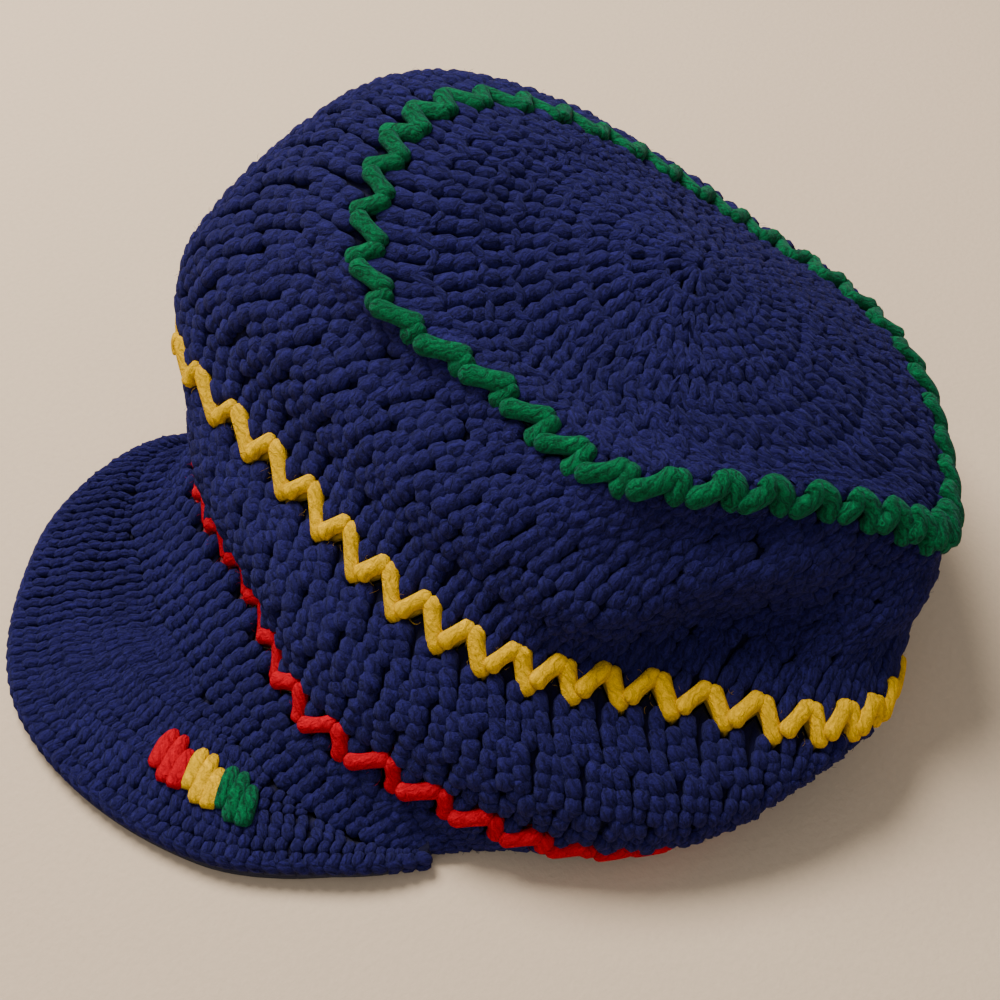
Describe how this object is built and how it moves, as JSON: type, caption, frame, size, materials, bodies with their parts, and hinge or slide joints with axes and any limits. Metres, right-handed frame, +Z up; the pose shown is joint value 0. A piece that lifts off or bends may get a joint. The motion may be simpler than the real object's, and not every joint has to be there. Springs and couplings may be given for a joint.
{
  "type": "rasta tam",
  "caption": "Crocheted slouch cap with a deep folded crown, coloured zigzag rounds, a turned-under headband and a soft half-moon peak.",
  "frame": {"origin": "middle of the cap's box on the surface that it lies on", "axes": "+Z up, the peak towards -Y, the wearer's left towards +X"},
  "size_m": [0.2804, 0.3314, 0.1275],
  "materials": {
    "navy_yarn": "matt fuzzy acrylic yarn",
    "green_yarn": "matt fuzzy acrylic yarn",
    "yellow_yarn": "matt fuzzy acrylic yarn",
    "red_yarn": "matt fuzzy acrylic yarn"
  },
  "bodies": {
    "root": {"crown_top": "navy_yarn", "green_round": "green_yarn", "side_upper": "navy_yarn", "yellow_round": "yellow_yarn", "side_lower": "navy_yarn", "red_round": "red_yarn", "headband": "navy_yarn", "peak": "navy_yarn", "peak_edging": "navy_yarn", "peak_block_red": "red_yarn", "peak_block_yellow": "yellow_yarn", "peak_block_green": "green_yarn"}
  },
  "joints": []
}
